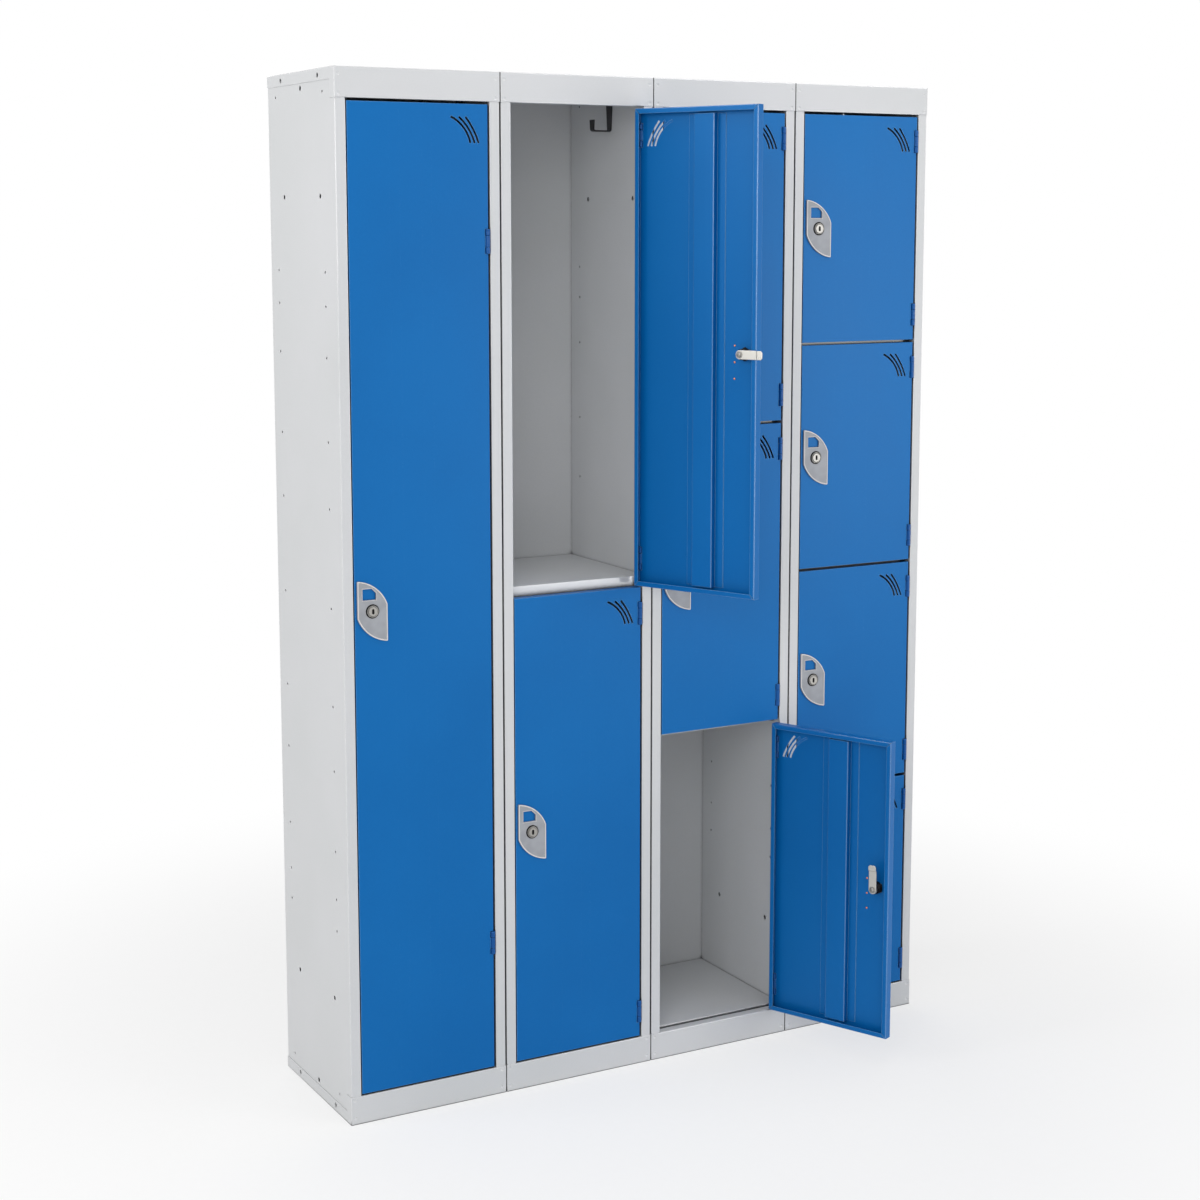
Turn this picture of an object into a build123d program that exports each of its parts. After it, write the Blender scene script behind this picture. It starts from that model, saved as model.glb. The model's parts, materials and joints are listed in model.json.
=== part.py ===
from build123d import *
import os

# A row of four separate steel lockers, side by side. Millimetres, +Z up.
# The origin is on the floor in the middle of the row, and the doors face -Y.

# Overall sizes of one locker
locker_height = 1800.0
locker_width = 300.0
locker_depth = 305.0
locker_gap = 0.5
doors_per_locker = (1, 2, 3, 4)

# Folded sheet
sheet = 1.0
bend_radius = 1.5
apron_height = 50.0
side_apron_height = 20.0
corner_tab = 20.0
stile_width = 19.0
jamb_depth = 17.0
hem = 6.0
back_return = 12.0
sill_depth = 18.0
sill_lip = 8.0
sill_side_gap = 0.2
shelf_height = 20.0
shelf_rise = 16.0
shelf_return = 8.0
floor_rise = 4.0

# Doors
door_depth = 17.0
door_gap = 5.0
door_top_gap = 4.5
door_free_gap = 1.5
door_hinge_gap = 3.0
door_lip = 9.0
stiffener_web = 42.0
stiffener_height = 12.0
stiffener_foot = 17.0
stiffener_end_gap = 12.0
stiffener_from_hinge = 141.5
open_angle = 114.0
open_doors = ("2a", "3c")
locked_doors = ("2a",)

# Vent slots: distances from the hinge edge and the top edge of the door
vent_width = 3.6
vent_top = 21.5
vent_bottom = 64.5
vent_starts = (68.8, 53.9, 41.4)
vent_ends = (32.5, 24.6, 17.1)
vent_bulges = (6.8, 4.0, 2.4)

# Hinges
knuckle_radius = 4.3
knuckle_end = 11.0
knuckle_middle = 19.0
knuckle_gap = 0.3
hinge_inset = 50.0
tall_hinge_inset = 233.0
leaf_sheet = 1.4
leaf_depth = 16.0
turning_gap = 0.5
hinge_standoff = 0.4

# Lock, measured from the free edge of the door
lock_inset = 31.5
plate_width = 54.5
plate_height = 105.5
plate_thickness = 4.0
plate_sweep = 41.5
plate_bulge = 9.9
plate_corner = 1.5
plate_shoulder = 8.0
window_left = 18.0
window_right = 6.7
window_bottom = 19.6
window_top = 38.8
window_cut = 8.0
plug_radius = 8.0
plug_clearance = 0.08
plug_proud = 1.8
key_slot_width = 1.8
key_slot_height = 8.0
key_slot_depth = 4.0
cam_width = 15.5
cam_reach = 47.0
cam_sheet = 2.0
cam_gap = 1.7
cam_crank = 2.5
cam_tip = 9.0
cam_corner = 3.0

# Holes in the end walls, where another locker can be bolted on
nest_hole_radius = 4.0
nest_from_front = 70.0
nest_from_end = 208.0

# Coat hooks, in the lockers whose top compartment is tall enough to hang a coat
hook_lockers = (0, 1)
hook_hole_from_top = 28.0
hook_above_hole = 12.0
hook_plate_height = 72.0
hook_wide = 24.0
hook_narrow = 12.0
hook_corner = 3.0
hook_sheet = 2.5
hook_bend = 5.0
hook_reach = 38.0
hook_tip_rise = 21.0

# Positions that follow from the sizes above
pitch = locker_width + locker_gap
front = -locker_depth / 2
back = locker_depth / 2
wall_outer = locker_width / 2 - sheet
wall_inner = wall_outer - sheet
jamb_face = wall_outer - stile_width
door_face = front + sheet
opening_bottom = apron_height
opening_height = locker_height - 2 * apron_height
hinge_x = jamb_face - knuckle_radius - hinge_standoff
door_left = -jamb_face + door_free_gap
door_right = jamb_face - door_hinge_gap
door_width = door_right - door_left
recess_depth = max(jamb_depth, door_depth)
lock_x = door_left + lock_inset
hinge_length = 2 * knuckle_end + knuckle_middle + 2 * knuckle_gap
hinge_axis = Axis((hinge_x, door_face, 0), (0, 0, 1))
nest_y = locker_depth / 2 - nest_from_front
nest_heights = (nest_from_end, locker_height - nest_from_end)
hook_height = locker_height - hook_hole_from_top


def in_locker(shape, column):
    """Move a shape made about x = 0 to its locker in the row."""
    middle = (len(doors_per_locker) - 1) / 2
    return Pos((column - middle) * pitch, 0, 0) * shape


def other_hand(shape):
    return mirror(shape, about=Plane.YZ)


def block(x, y, z):
    """A box between two limits on each axis."""
    size = Box(x[1] - x[0], y[1] - y[0], z[1] - z[0])
    return Pos((x[0] + x[1]) / 2, (y[0] + y[1]) / 2, (z[0] + z[1]) / 2) * size


def post(x, y, z, radius):
    """An upright cylinder between two heights."""
    return Pos(x, y, (z[0] + z[1]) / 2) * Cylinder(radius, z[1] - z[0])


def folded_tray(width, depth, height):
    """A sheet with four flanges turned down, its top face at z = 0."""
    solid = Box(width, depth, height, align=(Align.CENTER, Align.CENTER, Align.MAX))
    hollow = Box(
        width - 2 * sheet,
        depth - 2 * sheet,
        height,
        align=(Align.CENTER, Align.CENTER, Align.MAX),
    )
    return solid - Pos(0, 0, -sheet) * hollow


def side_panel():
    """Left side: back return, wall, stile, jamb and hem bent from one sheet."""
    skin = FilletPolyline(
        (-wall_outer + back_return, back - sheet),
        (-wall_outer, back - sheet),
        (-wall_outer, door_face),
        (-jamb_face, door_face),
        (-jamb_face, door_face + jamb_depth),
        (-jamb_face - sheet - hem, door_face + jamb_depth),
        radius=[0, bend_radius, bend_radius, 0],
    )
    profile = make_face(offset(skin, amount=sheet, side=Side.LEFT, kind=Kind.INTERSECTION).edges())
    return Pos(0, 0, sheet) * extrude(profile, locker_height - 2 * sheet)


def nest_holes():
    """The four holes in an end wall of the row, where another locker can be bolted on."""
    drill = Rot(0, 90, 0) * Cylinder(nest_hole_radius, 4 * sheet)
    places = [(y, height) for y in (-nest_y, nest_y) for height in nest_heights]
    return [Pos(-wall_outer, y, height) * drill for y, height in places]


def back_panel():
    outer = back - 2 * sheet
    return block((-wall_inner, wall_inner), (outer - sheet, outer), (sheet, locker_height - sheet))


def top_cap():
    """Cap with a tall front apron, a folded sill under it and shallow aprons elsewhere."""
    cap = folded_tray(locker_width, locker_depth, apron_height)
    corners = cap.edges().filter_by(Axis.Z).group_by(Axis.Y)[0].sort_by(Axis.X)
    cap = fillet([corners[0], corners[-1]], bend_radius)
    across = (-locker_width, locker_width)
    cap -= block(across, (front + corner_tab, back + 1), (-apron_height, -side_apron_height))
    sill = (-jamb_face + sill_side_gap, jamb_face - sill_side_gap)
    bottom = -apron_height
    sill_back = front + sill_depth
    cap += block(sill, (front, sill_back), (bottom, bottom + sheet))
    cap += block(sill, (sill_back - sheet, sill_back), (bottom, bottom + sill_lip))
    return Pos(0, 0, locker_height) * cap


def base_tray():
    return mirror(top_cap(), about=Plane.XY.offset(locker_height / 2))


def shelf_tray(height):
    """Tray between the walls, with its front lip folded back underneath."""
    tray_front = door_face + recess_depth + 2 * sheet
    tray_back = back - 3 * sheet
    tray_depth = tray_back - tray_front
    tray = folded_tray(2 * wall_inner, tray_depth, shelf_height)
    lip = (-tray_depth / 2, -tray_depth / 2 + shelf_return)
    inside = (-wall_inner + 2 * sheet, wall_inner - 2 * sheet)
    tray += block(inside, lip, (-shelf_height, -shelf_height + sheet))
    return Pos(0, (tray_front + tray_back) / 2, height) * tray


def coat_hook():
    """Hook bent from one tapered strip: wall plate, prong and upturned tip, on the right wall."""
    top = hook_height + hook_above_hole
    foot = top - hook_plate_height
    tip = wall_inner - hook_reach
    skin = FilletPolyline(
        (wall_inner, top),
        (wall_inner, foot),
        (tip, foot),
        (tip, foot + hook_tip_rise),
        radius=hook_bend,
    )
    profile = make_face(offset(skin, amount=hook_sheet, side=Side.RIGHT).edges())
    strip = Plane.XZ * extrude(profile, hook_wide, both=True)
    outline = Polyline(
        (-hook_narrow / 2, foot),
        (hook_narrow / 2, foot),
        (hook_wide / 2, top),
        (-hook_wide / 2, top),
        close=True,
    )
    blank = fillet(make_face(outline).vertices().group_by(Axis.Y)[-1], hook_corner)
    return strip & Plane.YZ * extrude(blank, locker_width)


def knuckle(z):
    """One knuckle of a hinge between two heights."""
    return post(hinge_x, door_face, z, knuckle_radius)


def hinge_leaf(height):
    """Frame half of a hinge: leaf on the jamb and two end knuckles; the pin is out of sight."""
    low = height - hinge_length / 2
    high = height + hinge_length / 2
    middle = (low + knuckle_end, high - knuckle_end)
    clear = door_face + knuckle_radius + turning_gap
    leaf = block((jamb_face - leaf_sheet, jamb_face), (door_face, door_face + leaf_depth), (low, high))
    leaf += block((hinge_x, jamb_face), (door_face, door_face + leaf_sheet), (low, high))
    leaf -= block((hinge_x, jamb_face), (door_face, clear), middle)
    return leaf + knuckle((low, middle[0])) + knuckle((middle[1], high))


def stiffener(length):
    """Hat-shaped strip, drawn with its feet on y = 0 and its web towards +Y."""
    half = stiffener_web / 2
    foot = half + stiffener_foot
    skin = Polyline(
        (-foot, sheet),
        (-half, sheet),
        (-half, stiffener_height),
        (half, stiffener_height),
        (half, sheet),
        (foot, sheet),
    )
    profile = make_face(offset(skin, amount=sheet, side=Side.RIGHT, kind=Kind.INTERSECTION).edges())
    return Pos(0, 0, -length / 2) * extrude(profile, length)


def vents(top):
    """Three slots curved round the upper hinge corner, as cutters through the door face."""
    face = Plane(origin=(door_right, door_face, top), x_dir=(1, 0, 0), z_dir=(0, -1, 0))
    cutters = []
    for start, end, bulge in zip(vent_starts, vent_ends, vent_bulges):
        first = Vector(-start, -vent_top)
        last = Vector(-end, -vent_bottom)
        along = (last - first).normalized()
        middle = (first + last) / 2 + Vector(-along.Y, along.X) * bulge
        slot = trace(ThreePointArc(first, middle, last), vent_width)
        cutters.append(face * extrude(slot, 2 * sheet, both=True))
    return cutters


def door_leaf(bottom, top, hinges, lock_height):
    """Closed door: pan with turned-in lips, stiffener, vents, lock cut-out and hinge knuckles."""
    height = top - bottom
    middle_x = (door_left + door_right) / 2
    middle_z = (bottom + top) / 2
    facing = Plane(origin=(middle_x, door_face, middle_z), x_dir=(1, 0, 0), z_dir=(0, -1, 0))
    pan = folded_tray(door_width, height, door_depth)
    lips = Rectangle(door_width, height) - Rectangle(door_width - 2 * door_lip, height - 2 * door_lip)
    pan += Pos(0, 0, -door_depth) * extrude(lips, sheet)
    leaf = facing * pan
    strip = stiffener(height - 2 * stiffener_end_gap)
    leaf += Pos(hinge_x - stiffener_from_hinge, door_face + sheet, middle_z) * strip
    for cutter in vents(top):
        leaf -= cutter
    cutout = 2 * (plug_radius + turning_gap)
    leaf -= Pos(lock_x, door_face, lock_height) * Box(cutout, 4 * sheet, cutout)
    for hinge in hinges:
        low = hinge - hinge_length / 2
        high = hinge + hinge_length / 2
        inner_low = low + knuckle_end + knuckle_gap
        inner_high = high - knuckle_end - knuckle_gap
        clear = knuckle_radius + turning_gap
        notch_x = (hinge_x - clear, hinge_x + clear)
        notch_y = (door_face - clear, door_face + clear)
        leaf -= block(notch_x, notch_y, (low - knuckle_gap, inner_low))
        leaf -= block(notch_x, notch_y, (inner_high, high + knuckle_gap))
        leaf += knuckle((inner_low, inner_high))
    return leaf


def lock_face(height):
    """Plane on the door face at the lock: x right, y up, z out of the door."""
    return Plane(origin=(lock_x, door_face, height), x_dir=(1, 0, 0), z_dir=(0, -1, 0))


def lock_plate():
    """Grip plate with two swept corners, a number window and the hole for the lock plug."""
    right = plate_width / 2
    top = plate_height / 2
    tip = Vector(-right, top)
    shoulder = Vector(right, top - plate_sweep)
    edges = [
        SagittaArc(tip, shoulder, plate_bulge),
        Line(shoulder, -tip),
        SagittaArc(-tip, -shoulder, plate_bulge),
        Line(-shoulder, tip),
    ]
    outline = make_face(edges)
    by_height = outline.vertices().sort_by(Axis.Y)
    outline = fillet([by_height[0], by_height[-1]], plate_corner)
    for corner in (shoulder, -shoulder):
        outline = fillet(outline.vertices().sort_by_distance(corner)[0], plate_shoulder)
    plate = extrude(outline, plate_thickness)
    window = Polyline(
        (-window_left, window_bottom),
        (window_right, window_bottom),
        (window_right, window_top - window_cut),
        (window_right - window_cut, window_top),
        (-window_left, window_top),
        close=True,
    )
    plate -= extrude(make_face(window), plate_thickness)
    return plate - post(0, 0, (0, plate_thickness), plug_radius + plug_clearance)


def lock_cam():
    """Lock plug with a key slot and the cam on its inner end, cam pointing up."""
    plug_front = plate_thickness + plug_proud
    cam_front = -recess_depth - cam_gap
    plug = post(0, 0, (cam_front, plug_front), plug_radius)
    slot = Box(key_slot_width, key_slot_height, 2 * key_slot_depth)
    plug -= Pos(0, 0, plug_front) * slot
    bend = cam_reach - cam_tip
    side = Polyline(
        (-cam_width, cam_front),
        (bend - cam_crank, cam_front),
        (bend, cam_front - cam_crank),
        (cam_reach + 1, cam_front - cam_crank),
    )
    strip = make_face(offset(side, amount=cam_sheet, side=Side.RIGHT, kind=Kind.INTERSECTION).edges())
    blade = Plane.YZ * extrude(strip, cam_width, both=True)
    blank = Pos(0, cam_reach / 2) * Rectangle(cam_width, cam_reach)
    blank = chamfer(blank.vertices().group_by(Axis.Y)[-1], cam_corner)
    blank = blank + Circle(cam_width / 2)
    deep = 2 * recess_depth
    blade = blade & Pos(0, 0, -deep) * extrude(blank, 2 * deep)
    return plug + blade


def save(name, shape):
    export_step(shape, "parts/" + name + ".step")


def hung(shape, name, column):
    """Swing a door piece open if its door stands open, and move it to its locker."""
    if name in open_doors:
        shape = shape.rotate(hinge_axis, open_angle)
    return in_locker(shape, column)


os.makedirs("parts", exist_ok=True)

for column in range(len(doors_per_locker)):
    number = str(column + 1)
    left = side_panel()
    right = side_panel()
    if column == 0:
        left = left - nest_holes()
    if column == len(doors_per_locker) - 1:
        right = right - nest_holes()
    save("left_side_" + number, in_locker(left, column))
    save("right_side_" + number, in_locker(other_hand(right), column))
    save("back_panel_" + number, in_locker(back_panel(), column))
    save("top_cap_" + number, in_locker(top_cap(), column))
    save("base_tray_" + number, in_locker(base_tray(), column))
    save("floor_tray_" + number, in_locker(shelf_tray(opening_bottom + floor_rise), column))

hinges_of_row = []
for column, count in enumerate(doors_per_locker):
    number = str(column + 1)
    share = opening_height / count
    divisions = [opening_bottom + share * step for step in range(count + 1)]
    shelves = [in_locker(shelf_tray(level + shelf_rise), column) for level in divisions[1:-1]]
    if shelves:
        save(("shelf_" if count == 2 else "shelves_") + number, Compound(children=shelves))
    inset = tall_hinge_inset if count == 1 else hinge_inset
    for index in range(count):
        name = number + "abcd"[index]
        below, above = divisions[count - 1 - index], divisions[count - index]
        hinges = (below + inset, above - inset)
        centre = (below + above) / 2
        for hinge in hinges:
            hinges_of_row.append(in_locker(hinge_leaf(hinge), column))
        top_gap = door_top_gap if index == 0 else door_gap / 2
        door = door_leaf(below + door_gap / 2, above - top_gap, hinges, centre)
        save("door_" + name, hung(door, name, column))
        plate = lock_face(centre) * lock_plate()
        save("lock_plate_" + name, hung(plate, name, column))
        turned = 90 if name in locked_doors else 0
        cam = lock_face(centre) * Rot(0, 0, turned) * lock_cam()
        save("lock_cam_" + name, hung(cam, name, column))

save("hinge_leaves", Compound(children=hinges_of_row))
save("coat_hooks", Compound(children=[in_locker(coat_hook(), column) for column in hook_lockers]))
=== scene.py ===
# %% [markdown]
# # A row of four steel lockers
# The row stands in a changing room: four narrow cabinets of folded sheet steel, with one, two,
# three and four doors. The solids come from CAD, so every sheet is already where it belongs.
# Blender adds what makes sheet metal look real: rounded folds, punched holes, moulded lock plates,
# turned lock parts and the sprayed paint. The CAD parts that are replaced stay, hidden.

# %% Load the imported lockers
import json
import math

import bmesh
import bpy
from mathutils import Matrix, Vector


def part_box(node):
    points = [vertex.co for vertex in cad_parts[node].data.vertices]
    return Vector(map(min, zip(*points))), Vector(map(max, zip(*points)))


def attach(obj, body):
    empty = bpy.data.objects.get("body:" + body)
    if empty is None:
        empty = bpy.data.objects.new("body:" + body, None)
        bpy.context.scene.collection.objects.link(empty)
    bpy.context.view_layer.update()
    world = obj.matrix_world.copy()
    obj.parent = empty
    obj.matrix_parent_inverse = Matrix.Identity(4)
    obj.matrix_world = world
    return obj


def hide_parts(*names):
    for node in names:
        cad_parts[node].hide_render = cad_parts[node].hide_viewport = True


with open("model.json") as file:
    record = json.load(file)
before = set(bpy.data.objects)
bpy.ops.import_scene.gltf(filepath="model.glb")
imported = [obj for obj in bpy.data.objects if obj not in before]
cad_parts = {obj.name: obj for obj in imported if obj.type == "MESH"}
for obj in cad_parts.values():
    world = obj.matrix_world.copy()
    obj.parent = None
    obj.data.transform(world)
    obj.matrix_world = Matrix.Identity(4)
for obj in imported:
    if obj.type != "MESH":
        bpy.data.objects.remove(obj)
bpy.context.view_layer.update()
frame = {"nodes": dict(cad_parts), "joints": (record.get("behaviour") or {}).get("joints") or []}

# %% [markdown]
# Every place is read from the frame. Each lock has a joint on its door's face, and that joint gives
# a handy local frame: x to the right, y up and z out of the door. It stays right for the two doors
# that stand open, so a lock part is drawn once and set on all ten doors.

# %% Where the doors and locks are
MM = 0.001
joints = frame["joints"]
lock_joints = {j["child"][len("lock_"):]: j for j in joints if j["child"].startswith("lock_")}
hinge_joints = {j["child"][len("door_"):]: j for j in joints if j["child"].startswith("door_")}
doors = sorted(lock_joints)
lockers = sorted({door[0] for door in doors})


def lock_place(door):
    """Matrix of a lock's own frame, with its origin on the outer face of the door."""
    joint = lock_joints[door]
    out = Vector(joint["axis"])
    up = Vector((0, 0, 1))
    turn = Matrix((up.cross(out), up, out)).transposed().to_4x4()
    return Matrix.Translation(joint["pos_m"]) @ turn


def key_turn(door):
    """Matrix that turns a lock's own frame to the way its key slot stands at rest."""
    turned_by = -min(lock_joints[door]["range_deg"][0], 0)
    return Matrix.Rotation(math.radians(turned_by), 4, "Z")


def door_swing(door):
    """Matrix that takes a point of the closed door to the door as it stands at rest."""
    joint = hinge_joints[door]
    pin = Matrix.Translation(joint["pos_m"])
    opened = -min(joint["range_deg"][0], 0)
    return pin @ Matrix.Rotation(math.radians(opened), 4, "Z") @ pin.inverted()


print("doors:", doors, "open:", [d for d in doors if hinge_joints[d]["range_deg"][0] < 0])

# %% [markdown]
# ## A short way to write shader maths
# A finish is a network of nodes, and a long list of links is hard to read. This small class stands
# for one output socket. Arithmetic on it adds Math nodes, so `1 - mask` can be written as it is
# thought. Any other node comes from one method: its type, its settings, then its inputs.


# %% The socket class
class Shade:
    """An output socket in a finish's node tree. Arithmetic on it adds Math nodes there."""

    def __init__(self, tree, socket=None):
        self.tree = tree
        self.socket = socket

    def node(self, kind, settings=None, inputs=None, output=0):
        made = self.tree.nodes.new(kind)
        for key, value in (settings or {}).items():
            setattr(made, key, value)
        for key, value in (inputs or {}).items():
            if isinstance(value, Shade):
                self.tree.links.new(value.socket, made.inputs[key])
            else:
                made.inputs[key].default_value = value
        return Shade(self.tree, made.outputs[output] if made.outputs else None)

    def maths(self, operation, first, second):
        return self.node("ShaderNodeMath", {"operation": operation}, {0: first, 1: second})

    def __add__(self, other):
        return self.maths("ADD", self, other)

    __radd__ = __add__

    def __sub__(self, other):
        return self.maths("SUBTRACT", self, other)

    def __rsub__(self, other):
        return self.maths("SUBTRACT", other, self)

    def __mul__(self, other):
        return self.maths("MULTIPLY", self, other)

    __rmul__ = __mul__

    def between(self, low, high):
        """0 below low, 1 above high, and smooth in between."""
        inputs = {"Value": self, "From Min": low, "From Max": high}
        return self.node("ShaderNodeMapRange", {"interpolation_type": "SMOOTHSTEP"}, inputs)

    def blend(self, first, second):
        """A colour mixed from two, with this value as the share of the second."""
        inputs = {0: self, 6: first, 7: second}
        return self.node("ShaderNodeMix", {"data_type": "RGBA"}, inputs, output=2)


def new_finish(name):
    """An empty material and the Shade that adds nodes to it."""
    material = bpy.data.materials.new(name)
    material.use_nodes = True
    material.node_tree.nodes.clear()
    return material, Shade(material.node_tree)


def display(red, green, blue):
    """A colour as it looks on screen, 0 to 255, turned into the linear light that shaders use."""
    linear = []
    for value in (red, green, blue):
        share = value / 255
        linear.append(share / 12.92 if share <= 0.04045 else ((share + 0.055) / 1.055) ** 2.4)
    return (*linear, 1.0)


print("a mid grey of 128 on screen is", round(display(128, 128, 128)[0], 3), "in linear light")

# %% [markdown]
# ## Edges and gaps
# Edges are painted paler, a painted highlight, and narrow gaps darker, painted shade. A Bevel node
# finds the edges: where the rounded normal turns away from the true one, the surface is near a
# corner. An Ambient Occlusion node finds the narrow gaps, which light reaches badly. Every finish
# starts and ends with the same nodes.

# %% Noise, masks and the ends of a finish
EDGE_TURN = (0.006, 0.08)
GAP_SHADE_REACH = 12 * MM


def object_place(shade):
    return shade.node("ShaderNodeTexCoord", output="Object")


def noise(shade, place, scale, detail=2.0, roughness=0.5):
    inputs = {"Vector": place, "Scale": scale, "Detail": detail, "Roughness": roughness}
    return shade.node("ShaderNodeTexNoise", {}, inputs)


def edge_mask(shade, rounded):
    """1 on a corner, 0 on a flat face."""
    true = shade.node("ShaderNodeNewGeometry", output="Normal")
    settings = {"operation": "DOT_PRODUCT"}
    facing = shade.node("ShaderNodeVectorMath", settings, {0: rounded, 1: true}, output="Value")
    return (1 - facing).between(*EDGE_TURN)


def gap_shade_mask(shade, gap_shade_limits):
    """1 deep in a narrow gap, 0 in the open: where the painted shade goes."""
    inputs = {"Distance": GAP_SHADE_REACH}
    open_share = shade.node("ShaderNodeAmbientOcclusion", {"samples": 6}, inputs, output="AO")
    return (1 - open_share).between(*gap_shade_limits)


def start_finish(name, reach):
    """A new finish with its place, its edges rounded over this reach, and its edge mask."""
    material, shade = new_finish(name)
    inputs = {"Radius": reach}
    rounded = shade.node("ShaderNodeBevel", {"samples": 4}, inputs, output="Normal")
    return material, shade, object_place(shade), rounded, edge_mask(shade, rounded)


def bumped(shade, strength, distance, height, rounded):
    """A normal with fine relief on top of the rounded edges."""
    inputs = {"Strength": strength, "Distance": distance, "Height": height, "Normal": rounded}
    return shade.node("ShaderNodeBump", {}, inputs)


def close_finish(shade, colour, roughness, normal, more=None):
    inputs = {"Base Color": colour, "Roughness": roughness, "Normal": normal, **(more or {})}
    shader = shade.node("ShaderNodeBsdfPrincipled", {}, inputs)
    shade.node("ShaderNodeOutputMaterial", {}, {"Surface": shader})


print("gaps are felt from", round(GAP_SHADE_REACH / MM), "mm away")

# %% [markdown]
# ## Powder coat
# Locker sheets are sprayed with dry powder that melts in an oven. The skin comes out satin, with a
# fine orange peel a couple of millimetres across, and it is a little thinner and glossier on the
# folds. Noise gives the peel, and a slow cloud varies tone and gloss. A paler tone on the edges is
# a painted highlight, and a tone towards black in narrow gaps is painted shade. The folds get the
# same paint with more gloss and, on the grey sheets, stronger painted shade in gaps. The hinges get
# a darker copy of the blue, which is painted shade, with painted dark outlines.

# %% Powder coat finishes
PEEL_SCALE = 420.0
GRAIN_SCALE = 4.5 * PEEL_SCALE
PEEL_HEIGHT = 0.35 * MM
PEEL_STRENGTH = 0.16
CLOUD_SCALE = 3.2
EDGE_REACH = 1.6 * MM
# How much of the paler edge tone the edges get, a painted highlight, and how dark narrow gaps get,
# painted shade, with where that shade starts and ends on sheets, folds and hinges.
EDGE_HIGHLIGHT_SHARE = 0.8
GAP_SHADE_SHARE = 0.94
GAP_SHADE_BLACK = (0.006, 0.006, 0.008, 1.0)
SHEET_GAP_SHADE = (0.45, 0.8)
FOLD_GAP_SHADE = (0.1, 0.4)
HINGE_GAP_SHADE = (0.3, 0.6)
LACQUER_ROUGHNESS = 0.08
LACQUER_IOR = 1.9


def powder_coat(name, dark, light, edge, gloss, shine, sheen, lacquer=0.0, gap_shade_limits=SHEET_GAP_SHADE):
    """Sprayed powder between two tones, with a painted highlight on edges and painted shade in
    gaps.
    """
    material, shade, place, rounded, corner = start_finish(name, EDGE_REACH)
    cloud = noise(shade, place, CLOUD_SCALE, 3.0)
    peel = noise(shade, place, PEEL_SCALE, 2.0)
    grain = noise(shade, place, GRAIN_SCALE, 1.0)
    tone = (cloud * 0.7 + peel * 0.3).between(0.3, 0.7)
    # The edge tone blended in near corners is a painted highlight.
    paint = (corner * EDGE_HIGHLIGHT_SHARE).blend(tone.blend(dark, light), edge)
    # Narrow gaps are painted towards black: painted shade.
    gap = gap_shade_mask(shade, gap_shade_limits)
    colour = (gap * GAP_SHADE_SHARE).blend(paint, GAP_SHADE_BLACK)
    roughness = gloss + cloud * 0.10 + grain * 0.06 - corner * 0.05
    normal = bumped(shade, PEEL_STRENGTH, PEEL_HEIGHT, peel + grain * 0.25, rounded)
    more = {
        "Specular IOR Level": shine,
        "Specular Tint": sheen,
        "Coat Weight": lacquer * (1 - gap),
        "Coat Roughness": LACQUER_ROUGHNESS,
        "Coat IOR": LACQUER_IOR,
    }
    close_finish(shade, colour, roughness, normal, more)
    return material


WHITE = (1, 1, 1, 1)
BLUISH = (0.4, 0.7, 1, 1)
PALE_BLUE = (0.6, 0.8, 1, 1)
# The third tone of each paint is the paler edge tone, a painted highlight.
greys = display(200, 202, 203), display(207, 208, 210), display(236, 237, 238)
blues = display(0, 96, 166), display(4, 102, 173), display(120, 172, 222)
grey_coat = powder_coat("grey_powder_coat", *greys, 0.36, 0.4, WHITE)
grey_folds = powder_coat("grey_fold_coat", *greys, 0.14, 0.8, WHITE, 0.5, FOLD_GAP_SHADE)
blue_coat = powder_coat("blue_powder_coat", *blues, 0.30, 0.34, BLUISH)
blue_folds = powder_coat("blue_fold_coat", *blues, 0.10, 0.7, PALE_BLUE, 0.6)
# The hinges carry the door's blue paint; this darker copy of it is painted shade, and their gap
# limits paint dark outlines round them.
shaded_hinge_blues = display(0, 72, 140), display(2, 80, 150), display(36, 108, 182)
shaded_hinge_coat = powder_coat("blue_hinge_coat", *shaded_hinge_blues, 0.2, 0.3, BLUISH, 0.1, HINGE_GAP_SHADE)
coats = (grey_coat, grey_folds, blue_coat, blue_folds, shaded_hinge_coat)
print("painted:", [coat.name for coat in coats])

# %% [markdown]
# ## Lock finishes
# The grip plates are moulded in grey plastic from a lightly etched tool, so they are matt in the
# field; their raised rim is painted paler, a painted highlight. The lock's ring and plug are nickel
# plated, its cam is bright zinc, its nut and barrel are darker, the pegs that hold the plate are
# coppered, and the hooks are dipped black. The black of the seal and of the key slot's cover is
# painted shade for the groove and the keyway. Every finish is paler at its edges, a painted
# highlight. Metals differ mostly in roughness, so each gets faint wear lines or mottling there.

# %% Plastic, nickel, zinc and black
ETCH_SCALE = 1600.0
FLOW_SCALE = 40.0
# Heights where the painted highlight on the plate's rim begins and is full.
RIM_HIGHLIGHT_LEVELS = (3.3 * MM, 3.8 * MM)
RUB_SCALE = 900.0
MOTTLE_SCALE = 160.0
DRIP_SCALE = 60.0
DIP_GRAIN = 700.0
EVEN = (1, 1, 1)


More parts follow.
